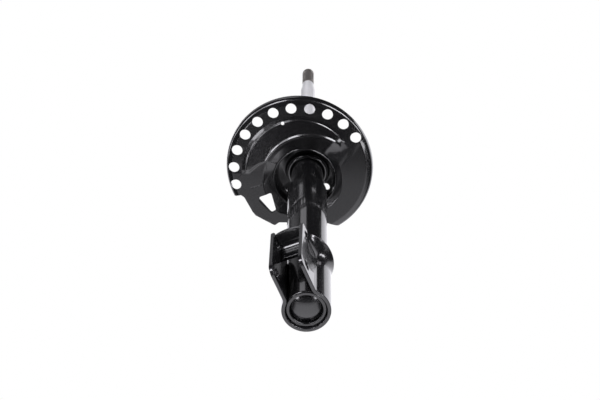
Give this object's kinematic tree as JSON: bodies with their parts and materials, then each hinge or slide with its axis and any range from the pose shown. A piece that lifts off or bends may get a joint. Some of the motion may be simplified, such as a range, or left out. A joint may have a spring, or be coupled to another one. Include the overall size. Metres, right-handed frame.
{
  "type": "suspension strut",
  "caption": "Front suspension strut: gas damper with chromed rod, tilted spring seat with a ring of holes, and a welded two-ear knuckle bracket.",
  "frame": {"origin": "centre of the base cap's boss face, on the damper's axis", "axes": "+Z along the damper's axis towards the piston rod, -Y towards the free edge of the knuckle bracket's ears, +X to the side with the bracket's flared edge"},
  "size_m": [0.1941, 0.1904, 0.637],
  "materials": {
    "black_paint": "gloss black dip paint",
    "chrome_rod": "hard chrome, fine ground",
    "steel_tube": "drawn steel",
    "spring_steel": "blued spring steel",
    "sintered_steel": "sintered, matt",
    "bush_lining": "sintered bronze with a dark lining",
    "seal_rubber": "matt black rubber",
    "bumper_rubber": "matt brown rubber",
    "band_plastic": "filled low-friction plastic"
  },
  "bodies": {
    "tube": {"outer_tube": "black_paint", "base_cap": "black_paint", "knuckle_bracket": "black_paint", "bracket_top_plate": "black_paint", "bracket_weld": "black_paint", "spring_seat": "black_paint", "seat_weld": "black_paint", "tube_end_cap": "black_paint", "working_cylinder": "steel_tube", "base_valve_body": "sintered_steel", "base_compression_discs": "spring_steel", "base_check_spring": "spring_steel", "base_valve_bolt": "steel_tube", "rod_guide": "sintered_steel", "guide_bush": "bush_lining", "rod_seal": "seal_rubber", "seal_spring": "spring_steel"},
    "band": {"piston_band": "band_plastic"},
    "rod": {"piston_rod": "chrome_rod", "rebound_stop_ring": "steel_tube", "rebound_bumper": "bumper_rubber", "piston": "sintered_steel", "piston_washer": "steel_tube", "piston_check_spring": "spring_steel", "piston_rebound_discs": "spring_steel", "piston_nut": "steel_tube"},
    "base_plate": {"base_check_plate": "spring_steel"},
    "piston_plate": {"piston_check_plate": "spring_steel"}
  },
  "joints": [
    {"name": "rod_slide", "type": "slide", "parent": "tube", "child": "band", "axis": [0, 0, 1], "range_m": [-0.165, 0], "stiffness_N_per_m": 100, "springref_m": 1.5},
    {"name": "rod_turn", "type": "hinge", "parent": "band", "child": "rod", "pos_m": [0, 0, 0.33], "axis": [0, 0, 1], "continuous": true},
    {"name": "base_plate_lift", "type": "slide", "parent": "tube", "child": "base_plate", "axis": [0, 0, 1], "range_m": [0, 0.0008], "stiffness_N_per_m": 50, "springref_m": -0.002},
    {"name": "piston_plate_lift", "type": "slide", "parent": "rod", "child": "piston_plate", "axis": [0, 0, 1], "range_m": [0, 0.0008], "stiffness_N_per_m": 50, "springref_m": -0.002}
  ]
}
